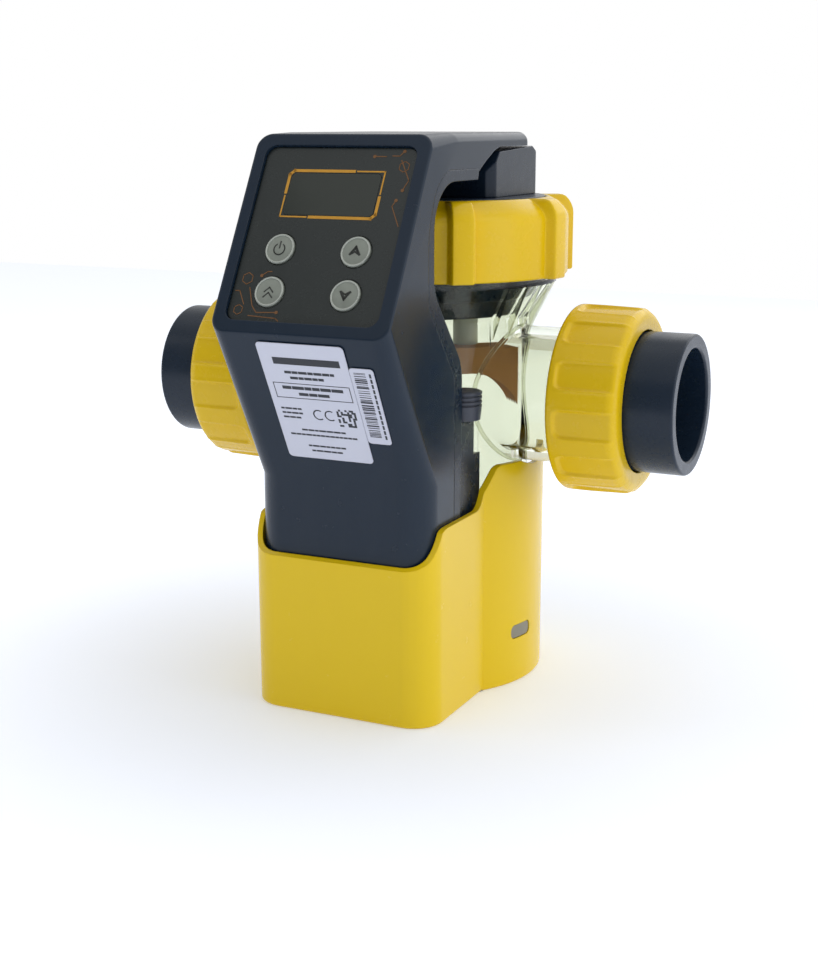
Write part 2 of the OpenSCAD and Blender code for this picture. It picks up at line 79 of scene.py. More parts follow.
def addSoftbox(name, azimuth, elevation, distance, size, watts, tint=(1.0, 1.0, 1.0)):
    lamp = bpy.data.lights.new(name, "AREA")
    lamp.shape = "RECTANGLE"
    lamp.size, lamp.size_y = size
    lamp.energy = watts
    lamp.color = tint
    box = bpy.data.objects.new(name, lamp)
    bpy.context.scene.collection.objects.link(box)
    back = backVector(azimuth, elevation)
    box.location = Vector((0, 0, 0.12)) + back * distance
    box.rotation_euler = (-back).to_track_quat("-Z", "Y").to_euler()


# an even white cyclorama to look at, and a sky that is dim towards the viewer to light by
def lightStudio():
    world = bpy.data.worlds.new("studioSky")
    bpy.context.scene.world = world
    world.use_nodes = True
    tree = world.node_tree
    links = tree.links
    sky = tree.nodes["Background"]
    direction = tree.nodes.new("ShaderNodeTexCoord").outputs["Generated"]
    spread = tree.nodes.new("ShaderNodeSeparateXYZ")
    links.new(direction, spread.inputs["Vector"])
    level = studio["frontGlow"]
    for axis, gain in (("X", studio["rightGlow"] - studio["frontGlow"]),
                       ("Y", studio["rearGlow"] - studio["frontGlow"])):
        side = addNode(tree, "MapRange")
        setRange(side, -0.5, 1.0, 0.0, gain)
        links.new(spread.outputs[axis], side.inputs["Value"])
        total = tree.nodes.new("ShaderNodeMath")
        total.operation = "ADD"
        if isinstance(level, float):
            total.inputs[0].default_value = level
        else:
            links.new(level, total.inputs[0])
        links.new(side.outputs["Result"], total.inputs[1])
        level = total.outputs["Value"]
    ray = tree.nodes.new("ShaderNodeLightPath")
    seen = tree.nodes.new("ShaderNodeMath")
    seen.operation = "MAXIMUM"
    links.new(ray.outputs["Is Camera Ray"], seen.inputs[0])
    links.new(ray.outputs["Transmission Depth"], seen.inputs[1])
    choose = tree.nodes.new("ShaderNodeMix")
    links.new(seen.outputs["Value"], choose.inputs["Factor"])
    links.new(level, choose.inputs[2])
    choose.inputs[3].default_value = 1.0
    links.new(choose.outputs[0], sky.inputs["Strength"])
    sky.inputs["Color"].default_value = (1.0, 1.0, 1.0, 1.0)
    addSoftbox("overheadBox", 10, 80, 2.2, (3.2, 3.2), 15.0)
    addSoftbox("rightBox", 84, 20, 1.1, (0.5, 1.2), 1.8)
    addSoftbox("leftBox", -62, 20, 1.2, (0.35, 1.1), 1.2)
    addSoftbox("rearBox", 165, 32, 1.3, (1.2, 0.8), 2.6)
    bpy.context.scene.view_settings.view_transform = "Standard"


def layFloor():
    bm = bmesh.new()
    bmesh.ops.create_grid(bm, x_segments=2, y_segments=2, size=studio["floorSize"] / 2)
    mesh = bpy.data.meshes.new("studioFloor")
    bm.to_mesh(mesh)
    bm.free()
    floor = bpy.data.objects.new("studioFloor", mesh)
    bpy.context.scene.collection.objects.link(floor)
    paper, tree, shader = startMaterial("paleBacking")
    tooth = addNode(tree, "TexNoise", Scale=400.0, Detail=3.0)
    spread = addNode(tree, "MapRange")
    setRange(spread, 0.0, 1.0, 0.86, 0.94)
    tree.links.new(addCoords(tree), tooth.inputs["Vector"])
    tree.links.new(tooth.outputs["Fac"], spread.inputs["Value"])
    tree.links.new(spread.outputs["Result"], shader.inputs["Roughness"])
    # pale blue base colour keeps the yellow bounce light in the floor's shade near the object grey
    shader.inputs["Base Color"].default_value = (0.81, 0.86, 0.97, 1.0)
    shader.inputs["Specular IOR Level"].default_value = 0.1
    shader.inputs["Emission Color"].default_value = (1.0, 1.0, 1.0, 1.0)
    # the floor glows less within the inner reach and fully beyond the outer reach: painted shadow around the
    # object's base, white glowing floor further out
    away = addNode(tree, "VectorMath")
    away.operation = "LENGTH"
    tree.links.new(addCoords(tree), away.inputs[0])
    glowWithPaintedShadow = addNode(tree, "MapRange")
    setRange(glowWithPaintedShadow, *studio["paintedShadowReach"], *studio["floorGlowWithPaintedShadow"])
    glowWithPaintedShadow.interpolation_type = "SMOOTHSTEP"
    tree.links.new(away.outputs["Value"], glowWithPaintedShadow.inputs["Value"])
    tree.links.new(glowWithPaintedShadow.outputs["Result"], shader.inputs["Emission Strength"])
    mesh.materials.append(paper)


# materials


def tone(code):
    parts = [int(code[i:i + 2], 16) / 255 for i in (0, 2, 4)]
    return tuple(p / 12.92 if p <= 0.04045 else ((p + 0.055) / 1.055) ** 2.4 for p in parts)


def shade(colour, factor):
    return tuple(min(1.0, c * factor) for c in colour[:3]) + (1.0,)


def startMaterial(name):
    made = bpy.data.materials.new(name)
    made.use_nodes = True
    return made, made.node_tree, made.node_tree.nodes["Principled BSDF"]


def addNode(tree, kind, **values):
    node = tree.nodes.new("ShaderNode" + kind)
    for key, value in values.items():
        node.inputs[key].default_value = value
    return node


def setRange(node, low, high, toLow, toHigh):
    for key, value in (("From Min", low), ("From Max", high), ("To Min", toLow), ("To Max", toHigh)):
        node.inputs[key].default_value = value


def addCoords(tree, scale=None):
    place = tree.nodes.new("ShaderNodeTexCoord").outputs["Object"]
    if scale is None:
        return place
    stretch = addNode(tree, "Mapping", Scale=scale)
    tree.links.new(place, stretch.inputs["Vector"])
    return stretch.outputs["Vector"]


def blendColours(tree, factor, first, second):
    mix = tree.nodes.new("ShaderNodeMix")
    mix.data_type = "RGBA"
    for socket, value in ((mix.inputs[6], first), (mix.inputs[7], second)):
        if isinstance(value, tuple):
            socket.default_value = value
        else:
            tree.links.new(value, socket)
    tree.links.new(factor, mix.inputs[0])
    return mix.outputs[2]


# moulded plastic: slow colour drift, drawn flow marks, handling scuffs and a fine skin
def mouldedPlastic(name, code, rough, drift=0.05, skin=0.000012, grain=1500.0, coat=0.0, scuff=0.06,
                   specular=0.5, soften=0.0006):
    made, tree, shader = startMaterial(name)
    colour = tone(code)
    links = tree.links
    slow = addNode(tree, "TexNoise", Scale=26.0, Detail=4.0, Roughness=0.55)
    links.new(addCoords(tree), slow.inputs["Vector"])
    base = blendColours(tree, slow.outputs["Fac"], shade(colour, 1 - drift), shade(colour, 1 + drift))
    flow = addNode(tree, "TexNoise", Scale=90.0, Detail=5.0, Roughness=0.6)
    links.new(addCoords(tree, (1.0, 1.0, 0.22)), flow.inputs["Vector"])
    marks = addNode(tree, "MapRange")
    setRange(marks, 0.42, 0.85, 0.0, scuff)
    links.new(flow.outputs["Fac"], marks.inputs["Value"])
    worn = blendColours(tree, marks.outputs["Result"], base, shade([c + 0.05 for c in colour], 1.3))
    links.new(worn, shader.inputs["Base Color"])
    gloss = addNode(tree, "TexNoise", Scale=140.0, Detail=6.0, Roughness=0.65)
    links.new(addCoords(tree), gloss.inputs["Vector"])
    uneven = addNode(tree, "MapRange")
    setRange(uneven, 0.3, 0.7, rough * 0.86, rough * 1.16)
    links.new(gloss.outputs["Fac"], uneven.inputs["Value"])
    links.new(uneven.outputs["Result"], shader.inputs["Roughness"])
    skinNoise = addNode(tree, "TexNoise", Scale=grain, Detail=2.0)
    links.new(addCoords(tree), skinNoise.inputs["Vector"])
    bump = addNode(tree, "Bump", Strength=0.3, Distance=skin)
    links.new(skinNoise.outputs["Fac"], bump.inputs["Height"])
    if soften:
        eased = addNode(tree, "Bevel", Radius=soften)
        eased.samples = 6
        links.new(eased.outputs["Normal"], bump.inputs["Normal"])
    links.new(bump.outputs["Normal"], shader.inputs["Normal"])
    shader.inputs["Coat Weight"].default_value = coat
    shader.inputs["Coat Roughness"].default_value = 0.12
    shader.inputs["Specular IOR Level"].default_value = specular
    return made


# clear or smoky plastic with faint moulding haze
def clearPlastic(name, code, rough=0.02, haze=0.02, ior=1.07):
    made, tree, shader = startMaterial(name)
    links = tree.links
    colour = tone(code)
    cloud = addNode(tree, "TexNoise", Scale=60.0, Detail=4.0)
    links.new(addCoords(tree), cloud.inputs["Vector"])
    links.new(blendColours(tree, cloud.outputs["Fac"], shade(colour, 0.985), shade(colour, 1.0)),
              shader.inputs["Base Color"])
    veil = addNode(tree, "MapRange")
    setRange(veil, 0.4, 0.75, rough, rough + haze)
    links.new(cloud.outputs["Fac"], veil.inputs["Value"])
    links.new(veil.outputs["Result"], shader.inputs["Roughness"])
    ripple = addNode(tree, "TexNoise", Scale=45.0, Detail=2.0)
    links.new(addCoords(tree, (1.0, 1.0, 0.3)), ripple.inputs["Vector"])
    bump = addNode(tree, "Bump", Strength=0.25, Distance=0.0003)
    links.new(ripple.outputs["Fac"], bump.inputs["Height"])
    links.new(bump.outputs["Normal"], shader.inputs["Normal"])
    shader.inputs["Transmission Weight"].default_value = 1.0
    shader.inputs["IOR"].default_value = ior
    shader.inputs["Coat Weight"].default_value = 0.6
    shader.inputs["Coat Roughness"].default_value = 0.03
    shader.inputs["Coat IOR"].default_value = 1.45
    return made


# metal with fine drawn lines along one direction
def drawnMetal(name, code, rough, lines=(1.0, 1.0, 40.0), metallic=1.0):
    made, tree, shader = startMaterial(name)
    links = tree.links
    colour = tone(code)
    streak = addNode(tree, "TexNoise", Scale=300.0, Detail=4.0)
    links.new(addCoords(tree, lines), streak.inputs["Vector"])
    links.new(blendColours(tree, streak.outputs["Fac"], shade(colour, 0.82), shade(colour, 1.1)),
              shader.inputs["Base Color"])
    uneven = addNode(tree, "MapRange")
    setRange(uneven, 0.2, 0.8, rough * 0.7, rough * 1.3)
    links.new(streak.outputs["Fac"], uneven.inputs["Value"])
    links.new(uneven.outputs["Result"], shader.inputs["Roughness"])
    bump = addNode(tree, "Bump", Strength=0.3, Distance=0.00003)
    links.new(streak.outputs["Fac"], bump.inputs["Height"])
    links.new(bump.outputs["Normal"], shader.inputs["Normal"])
    shader.inputs["Metallic"].default_value = metallic
    return made


finishes = {
    "cradleYellow": mouldedPlastic("cradleYellow", "EAC708", 0.24, drift=0.02, scuff=0.015, specular=0.36),
    "nutYellow": mouldedPlastic("nutYellow", "E6C006", 0.26, drift=0.02, scuff=0.02, specular=0.36,
                                 soften=0.0),
    "housingNavy": mouldedPlastic("housingNavy", "172636", 0.24, drift=0.08, scuff=0.04, skin=0.000008,
                                   specular=0.3),
    "coverNavy": mouldedPlastic("coverNavy", "162434", 0.28, drift=0.08, scuff=0.04, skin=0.00001,
                                specular=0.32),
    "pipeNavy": mouldedPlastic("pipeNavy", "172535", 0.28, drift=0.06, scuff=0.05, skin=0.00001,
                               specular=0.3),
    "clearCell": clearPlastic("clearCell", "E1E3D3"),
    "sealRubber": mouldedPlastic("sealRubber", "111214", 0.62, skin=0.00004, specular=0.3),
    "electrodeOxide": mouldedPlastic("electrodeOxide", "D2985F", 0.55, drift=0.16, grain=700.0,
                                     skin=0.00005, soften=0.0),
    "sleeveFrost": mouldedPlastic("sleeveFrost", "CFD5C3", 0.5, drift=0.06, soften=0.0),
    "combBrown": mouldedPlastic("combBrown", "6B4A34", 0.45),
    "contactBrass": drawnMetal("contactBrass", "D2A24A", 0.28),
    "studTitanium": drawnMetal("studTitanium", "B9B6B0", 0.35),
    "screwSteel": drawnMetal("screwSteel", "C3C6CA", 0.26, lines=(30.0, 1.0, 1.0)),
    "finAluminium": drawnMetal("finAluminium", "C9CBCE", 0.34),
    "boardGreen": mouldedPlastic("boardGreen", "1C5A35", 0.36, drift=0.12, grain=900.0),
    "componentCase": mouldedPlastic("componentCase", "2B3038", 0.42, drift=0.1),
    "glandBlack": mouldedPlastic("glandBlack", "15171A", 0.4),
    "sensorGrey": mouldedPlastic("sensorGrey", "3A3F4B", 0.4, drift=0.08),
    "nylonWhite": mouldedPlastic("nylonWhite", "D9DAD4", 0.42),
    "badgeGrey": drawnMetal("badgeGrey", "8E8A7C", 0.42, lines=(1.0, 1.0, 20.0), metallic=0.35),
    "keypadFilm": mouldedPlastic("keypadFilm", "242A29", 0.26, drift=0.05, grain=2600.0, skin=0.000006,
                                 scuff=0.02),
    "displayFilm": mouldedPlastic("displayFilm", "1B231B", 0.12, drift=0.05, skin=0.000003, coat=0.25,
                                  scuff=0.01),
    "goldInk": drawnMetal("goldInk", "D29A34", 0.42, lines=(1.0, 1.0, 1.0), metallic=0.35),
    "copperInk": drawnMetal("copperInk", "7E5632", 0.45, lines=(1.0, 1.0, 1.0), metallic=0.3),
    "keyLacquer": drawnMetal("keyLacquer", "8F958C", 0.36, lines=(1.0, 1.0, 1.0), metallic=0.45),
    "keyRim": drawnMetal("keyRim", "B9BEB6", 0.3, lines=(1.0, 1.0, 1.0), metallic=0.5),
    "markDark": mouldedPlastic("markDark", "30342F", 0.4, scuff=0.01),
    "labelFilm": mouldedPlastic("labelFilm", "CDD0DF", 0.36, drift=0.02, skin=0.000006, scuff=0.01),
    "labelInk": mouldedPlastic("labelInk", "262A33", 0.45, drift=0.1, scuff=0.01),
}
print("finishes mixed")

# shaping tools, in millimetres until a piece is finished


def keep(bm):
    mesh = bpy.data.meshes.new("shape")
    bm.normal_update()
    bm.to_mesh(mesh)
    bm.free()
    shape = bpy.data.objects.new("shape", mesh)
    bpy.context.scene.collection.objects.link(shape)
    return shape


def reopen(shape):
    bm = bmesh.new()
    bm.from_mesh(shape.data)
    bpy.data.objects.remove(shape)
    return bm


def combine(base, tools, operation):
    for tool in tools:
        step = base.modifiers.new("combine", "BOOLEAN")
        step.operation = operation
        step.solver = "EXACT"
        step.object = tool
    graph = bpy.context.evaluated_depsgraph_get()
    shaped = bpy.data.meshes.new_from_object(base.evaluated_get(graph))
    base.modifiers.clear()
    base.data = shaped
    for tool in tools:
        bpy.data.objects.remove(tool)
    return base


def cutAway(base, *tools):
    return combine(base, tools, "DIFFERENCE")


def addOn(base, *tools):
    return combine(base, tools, "UNION")


def keepOnly(base, *tools):
    return combine(base, tools, "INTERSECT")


def roundCorners(bm, verts, radius, segments=8):
    bmesh.ops.bevel(bm, geom=verts, offset=radius, segments=segments, profile=0.5, affect="VERTICES",
                    clamp_overlap=False, material=-1)


def roundEdges(bm, edges, radius, segments=8):
    bmesh.ops.bevel(bm, geom=edges, offset=radius, segments=segments, profile=0.5, affect="EDGES",
                    clamp_overlap=False, material=-1)


def pushOut(bm, faces, vector):
    made = bmesh.ops.extrude_face_region(bm, geom=faces)
    moved = [g for g in made["geom"] if isinstance(g, bmesh.types.BMVert)]
    bmesh.ops.translate(bm, vec=vector, verts=moved)
    bmesh.ops.recalc_face_normals(bm, faces=bm.faces)


# a block between two corners, with its upright edges rounded
def block(low, high, radius=0.0, where=None, segments=8):
    bm = bmesh.new()
    size = [h - l for l, h in zip(low, high)]
    bmesh.ops.create_cube(bm, size=1.0)
    bmesh.ops.scale(bm, vec=size, verts=bm.verts)
    bmesh.ops.translate(bm, vec=[(l + h) / 2 for l, h in zip(low, high)], verts=bm.verts)
    if radius:
        upright = [e for e in bm.edges if abs(e.verts[0].co.z - e.verts[1].co.z) > size[2] / 2]
        upright = [e for e in upright if where is None or where(e.verts[0].co)]
        roundEdges(bm, upright, radius, segments)
    return bm


def disc(radius, low, high, segments=96, top=None):
    bm = bmesh.new()
    bmesh.ops.create_cone(bm, cap_ends=True, segments=segments, radius1=radius,
                          radius2=radius if top is None else top, depth=high - low)
    bmesh.ops.translate(bm, vec=(0, 0, (low + high) / 2), verts=bm.verts)
    return bm


# a closed ring turned from its section, radius and height pairs
def turned(section, steps=128, roundings=None):
    bm = bmesh.new()
    verts = [bm.verts.new((r, 0, z)) for r, z in section]
    face = bm.faces.new(verts)
    for index, radius in (roundings or {}).items():
        roundCorners(bm, [verts[index]], radius, 6)
    edges = list(bm.edges)
    corners = list(bm.verts)
    bmesh.ops.delete(bm, geom=list(bm.faces), context="FACES_ONLY")
    bmesh.ops.spin(bm, geom=corners + edges, cent=(0, 0, 0), axis=(0, 0, 1), angle=math.tau,
                   steps=steps, use_merge=True)
    bmesh.ops.remove_doubles(bm, verts=bm.verts, dist=0.0005)
    bmesh.ops.recalc_face_normals(bm, faces=bm.faces)
    return bm


def placed(bm, matrix):
    bmesh.ops.transform(bm, matrix=matrix, verts=bm.verts)
    if matrix.determinant() < 0:
        bmesh.ops.recalc_face_normals(bm, faces=bm.faces)
    return bm


# side view outline, y and z pairs, drawn across the width; roundings give corner radii by index
def sideOutline(points, halfWidth, roundings=None):
    bm = bmesh.new()
    verts = [bm.verts.new((-halfWidth, y, z)) for y, z in points]
    face = bm.faces.new(verts)
    for index, radius in (roundings or {}).items():
        roundCorners(bm, [verts[index]], radius, 10)
    pushOut(bm, list(bm.faces), (2 * halfWidth, 0, 0))
    return bm


# flat rounded plate w by h about the centre, standing on z
def plate(w, h, low, high, radius, segments=8):
    return block((-w / 2, -h / 2, low), (w / 2, h / 2, high), radius, segments=segments)


def rotation(degrees, axis):
    return Matrix.Rotation(math.radians(degrees), 4, axis)


def shift(x, y, z):
    return Matrix.Translation((x, y, z))


def setFinish(node, finish):
    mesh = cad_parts[node].data
    mesh.materials.clear()
    mesh.materials.append(finishes[finish])


def finishPiece(shape, name, body, nodes, finish, edge=0.5, angle=32, segments=3, flat=0.6,
                sharp=38):
    bm = shape if isinstance(shape, bmesh.types.BMesh) else reopen(shape)
    bmesh.ops.remove_doubles(bm, verts=bm.verts, dist=0.004)
    if flat:
        bmesh.ops.dissolve_limit(bm, angle_limit=math.radians(flat), verts=bm.verts, edges=bm.edges)
    if edge:
        hard = [e for e in bm.edges if len(e.link_faces) == 2
                and e.calc_face_angle(0.0) > math.radians(angle)]
        roundEdges(bm, hard, edge, segments)
    bmesh.ops.scale(bm, vec=(mm, mm, mm), verts=bm.verts)
    bmesh.ops.recalc_face_normals(bm, faces=bm.faces)
    mesh = bpy.data.meshes.new(name)
    bm.to_mesh(mesh)
    loose = sum(1 for e in bm.edges if not e.is_manifold)
    bm.free()
    mesh.materials.append(finishes[finish])
    mesh.shade_smooth()
    mesh.set_sharp_from_angle(angle=math.radians(sharp))
    piece = bpy.data.objects.new(name, mesh)
    bpy.context.scene.collection.objects.link(piece)
    evened = piece.modifiers.new("evenShading", "WEIGHTED_NORMAL")
    evened.keep_sharp = True
    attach(piece, body)
    if nodes:
        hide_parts(*nodes)
    print("made", name, "faces", len(mesh.polygons), "open edges", loose)
    return piece


placeCamera()
lightStudio()
layFloor()
print("studio ready")

# cradle

cradle = {
    "halfWidth": 45.0,
    "front": 93.2,
    "corner": 14.0,
    "rearRadius": 56.5,
    "wall": 2.6,
    "floor": 3.0,
    "frontWall": 69.6,
    "sideWall": 87.8,
    "saddleWall": 106.6,
    "rearWall": 60.0,
    "frontLean": 0.95,
    "saddleRadius": 32.4,
    "pipeHeight": 136.0,
    "badgeTurn": 12.0,
    "badgeHeight": 25.0,
}


def alongPipe(bm, x=0.0):
    return placed(bm, shift(x, 0, cradle["pipeHeight"]) @ rotation(90, "Y"))


def cradlePlan(inset, low, high):
    w, f = cradle["halfWidth"] - inset, cradle["front"] - inset
    box = block((-w, -f, low), (w, 0, high), cradle["corner"] - inset, lambda p: p.y < -50, 10)
    if not inset:
        for v in box.verts:
            if v.co.y < -60:
                v.co.y += (high - v.co.z) * math.tan(math.radians(cradle["frontLean"])) * 0.65
    tub = disc(cradle["rearRadius"] - inset, low, high, 160)
    return addOn(keep(box), keep(tub))


def badgePill(grow, reach):
    pill = plate(14.6 + grow, 6.2 + grow, 0, reach, 2.6)
    turnedOut = rotation(-cradle["badgeTurn"], "Z") @ shift(50, 0, cradle["badgeHeight"])
    return placed(pill, turnedOut @ rotation(90, "Z") @ rotation(90, "X"))


def makeCradle():
    c = cradle
    rim = [(-120, 200), (-120, c["frontWall"]), (-91, c["frontWall"]), (-82.5, c["sideWall"] - 7),
           (-78.6, c["sideWall"]), (-39, c["sideWall"]), (-34.5, c["sideWall"] + 6),
           (-27.7, c["saddleWall"]), (27.2, c["saddleWall"]), (40.5, c["rearWall"]),
           (80, c["rearWall"]), (80, 200)]
    shell = cradlePlan(0.0, 0.0, c["saddleWall"])
    bm = reopen(shell)
    bottom = [e for e in bm.edges if all(v.co.z < 0.01 for v in e.verts) and e.calc_face_angle(0) > 1]
    roundEdges(bm, bottom, 1.6, 4)
    shell = keep(bm)
    cuts = [cradlePlan(c["wall"], c["floor"], c["saddleWall"] + 5),
            keep(sideOutline(rim, 90, {2: 9, 3: 6, 4: 5, 5: 4, 6: 6, 7: 2.6, 8: 2.6, 9: 8})),
            keep(alongPipe(disc(c["saddleRadius"], -100, 100, 128)))]
    for side in (1, -1):
        ring = badgePill(0.5, 20)
        if side < 0:
            placed(ring, Matrix.Scale(-1, 4, (1, 0, 0)))
        core = keep(disc(c["rearRadius"] - 1.2, 0, 60, 160))
        cuts.append(cutAway(keep(ring), core))
    shell = cutAway(shell, *cuts)
    seat = turned([(43, 2.5), (46, 2.5), (46, 10), (43, 10)], 96)
    ribs = []
    for a in (50, 90, 130, 200, 340):
        ribs.append(keep(placed(block((49.6, -1, 2.5), (54.6, 1, 55)), rotation(a, "Z"))))
    for x in (-30, 0, 30):
        ribs.append(keep(block((x - 1, -88, 2.5), (x + 1, -58, 8))))
    feet = [keep(placed(disc(7.1, -1, 1.5, 64), shift(x, y, 0)))
            for x, y in ((-31, -78), (31, -78), (-33, 30), (33, 30))]
    shell = cutAway(addOn(shell, keep(seat), *ribs), *feet)
    finishPiece(shell, "cradleTub", "cradle", ["base_cradle"], "cradleYellow",
                edge=0, sharp=30)
    badges = []
    for side in (1, -1):
        pill = badgePill(0.0, 20)
        if side < 0:
            placed(pill, Matrix.Scale(-1, 4, (1, 0, 0)))
        skin = keepOnly(keep(pill), keep(disc(c["rearRadius"] - 0.35, 0, 60, 160)))
        badges.append(cutAway(skin, keep(disc(c["rearRadius"] - 1.15, 0, 60, 160))))
    bm = reopen(badges[0])
    bm.from_mesh(badges[1].data)
    bpy.data.objects.remove(badges[1])
    finishPiece(bm, "cradleBadges", "cradle", ["base_badges"], "badgeGrey", edge=0.15)
    setFinish("base_feet", "sealRubber")


makeCradle()

# clear cell

cell = {
    "barrel": 49.0,
    "wall": 3.5,
    "collar": 60.8,
    "collarBore": 56.4,
    "floor": 10.0,
    "seat": 210.0,
    "port": 31.0,
    "bore": 25.1,
    "portEnd": 90.0,
    "bead": 1.0,
    "beadSides": 16,
    "beadSteps": 96,
    "finAngles": (-28.0, -16.8, -5.6, 5.6, 16.8, 28.0),
}


# a round bead along the curve where a port meets the barrel
def addSaddleBead(bm, side):
    c = cell
    path = []
    for i in range(c["beadSteps"]):
        turn = math.tau * i / c["beadSteps"]
        y, z = c["port"] * math.cos(turn), c["port"] * math.sin(turn)
        path.append(Vector((side * math.sqrt(c["barrel"] ** 2 - y * y), y, z)))
    rings = []
    for i, spot in enumerate(path):
        along = (path[(i + 1) % len(path)] - path[i - 1]).normalized()
        out = Vector((0.0, spot.y, spot.z)).normalized()
        up = along.cross(out).normalized()
        rings.append([bm.verts.new(shift(0, 0, cradle["pipeHeight"]) @
                                   (spot + c["bead"] * (out * math.cos(a) + up * math.sin(a))))
                      for a in (math.tau * k / c["beadSides"] for k in range(c["beadSides"]))])
    faces = []
    for i, ring in enumerate(rings):
        other = rings[(i + 1) % len(rings)]
        for k in range(len(ring)):
            after = (k + 1) % len(ring)
            faces.append(bm.faces.new([ring[k], ring[after], other[after], other[k]]))
    bmesh.ops.recalc_face_normals(bm, faces=faces)


def makeCell():
    c = cell
    outer = [(0.01, c["floor"]), (c["barrel"], c["floor"]), (c["barrel"], 171), (59, 186.5),
             (c["collar"], 186.5), (c["collar"], 189.6), (59.4, 190.4), (59.4, 193)]
    for i in range(3):
        z = 193 + 5 * i
        outer += [(59.4, z), (c["collar"], z + 0.5), (c["collar"], z + 1.9), (59.4, z + 2.4)]
    outer = [p for i, p in enumerate(outer) if i == 0 or p != outer[i - 1]]
    section = outer + [(59.4, c["seat"]), (c["collarBore"], c["seat"]), (c["collarBore"], 187),
                       (55, 185), (c["barrel"] - c["wall"], 170), (c["barrel"] - c["wall"], 14),
                       (0.01, 14)]
    barrel = keep(turned(section, 160, {1: 3.0, len(section) - 2: 3.0}))
    fins = []
    for a in c["finAngles"]:
        for side in (0, 180):
            bm = bmesh.new()
            spots = ((48.4, 163), (49.4, 163), (60.6, 186.6), (48.4, 186.6))
            face = bm.faces.new([bm.verts.new((r, -0.9, z)) for r, z in spots])
            pushOut(bm, [face], (0, 1.8, 0))
            fins.append(keep(placed(bm, rotation(a + side, "Z"))))
    ports = []
    for side in (1, -1):
        profile = [(c["bore"], 30), (c["port"], 30), (c["port"], 77), (35.8, 77.5), (35.8, 78.4)]
        for i in range(3):
            z = 78.4 + 3.8 * i
            profile += [(37, z + 0.4), (37, z + 1.6), (35.8, z + 2.0), (35.8, z + 3.8)]
        profile = profile[:-1] + [(35.8, c["portEnd"]), (30.6, c["portEnd"]), (30.6, 87.4),
                                  (26.6, 87.4), (26.6, c["portEnd"]), (c["bore"], c["portEnd"])]
        tube = turned(profile, 128)
        if side < 0:
            placed(tube, Matrix.Scale(-1, 4, (0, 0, 1)))
        ports.append(keep(alongPipe(tube)))
    finned = addOn(barrel, *fins)
    inside = turned([(0.01, 14), (45.5, 14), (45.5, 170), (55, 185), (56.4, 187), (56.4, 212),
                     (0.01, 212)], 160, {1: 3.0})
    body = reopen(cutAway(addOn(finned, *ports), keep(inside),
                          keep(alongPipe(disc(c["bore"], -95, 95, 128)))))
    for side in (1, -1):
        addSaddleBead(body, side)
    return finishPiece(body, "cellBody", "unit", ["cell_body", "cell_port_right", "cell_port_left"],
                       "clearCell", edge=0.3, angle=30, segments=2)


makeCell()


def makeElectrodeHead():
    section = [(0.01, 172.3), (44.6, 172.3), (44.6, 179.8), (50.2, 180.4), (54.2, 186.6), (56.1, 188.4),
               (56.1, 197.9), (52.8, 197.9), (52.8, 202.1), (56.1, 202.1), (56.1, 210), (60.5, 210),
               (60.5, 216.8), (55, 216.8), (55, 225.3), (33, 225.3), (33, 180), (0.01, 180)]
    bm = turned(section, 128, {1: 1.0})
    finishPiece(bm, "electrodeHead", "unit", ["electrode_head"], "coverNavy", edge=0.35)


makeElectrodeHead()
for node, finish in (("electrode_plates", "electrodeOxide"), ("plate_spacers", "combBrown"),
                     ("electrode_studs", "studTitanium"), ("stud_sleeves", "sleeveFrost"),
                     ("head_oring", "sealRubber"),
                     ("terminal_pins", "contactBrass"), ("port_oring_right", "sealRubber"),
                     ("port_oring_left", "sealRubber"), ("slip_ring", "nylonWhite"),
                     ("control_board", "boardGreen"), ("power_components", "componentCase"),
                     ("heatsink", "finAluminium"), ("gland_seal", "sealRubber"),
                     ("panel_gasket", "sealRubber"), ("lcd_module", "componentCase"),
                     ("display_board", "boardGreen"), ("key_switches", "screwSteel"),
                     ("cover_screws", "screwSteel")):
    setFinish(node, finish)


def makeFlowSensor():
    section = [(0.01, 129.6), (7.4, 129.6), (8.1, 136.2), (7.3, 136.2)]
    for i in range(3):
        z = 137.0 + 2.0 * i
        section += [(7.3, z), (8.1, z), (8.1, z + 1.2), (7.3, z + 1.2)]
    section += [(7.3, 142.6), (0.01, 142.6)]
    bm = placed(turned(section, 64), shift(38.4, -42.6, 0))
    finishPiece(bm, "flowSensor", "unit", ["flow_sensor"], "sensorGrey", edge=0.2)


makeFlowSensor()
print("cell built")

# controller

controller = {
    "halfWidth": 42.0,
    "top": 253.7,
    "armRear": 24.6,
    "wall": 2.5,
    "bezelWidth": 82.4,
    "bezelLength": 91.7,
    "bezelCorner": 7.0,
    "bezelLip": 1.3,
    "panelEdge": (0.0, -80.2, 253.7),
    "panelTilt": 29.25,
    "chin": (0.0, -125.0, 173.7),
    "slantTurn": 117.55,
    "columnFront": 90.0,
    "columnBack": 53.0,
    "columnCorner": 13.0,
    "columnTop": 106.6,
    "recess": (71.0, 79.8, 45.7),
    "seam": -60.7,
    "screws": ((-29, 24), (-29, 98), (29, 24), (29, 98)),
    "gland": (-72.0, 142.0),
    "pinHeight": 238.4,
}


def onPanel(x=0.0, row=0.0, z=0.0):
    return shift(*controller["panelEdge"]) @ rotation(90 - controller["panelTilt"], "X") @ shift(x, -row, z)


def onSlant(x=0.0, row=0.0, z=0.0):
    return shift(*controller["chin"]) @ rotation(controller["slantTurn"], "X") @ shift(x, -row, z)


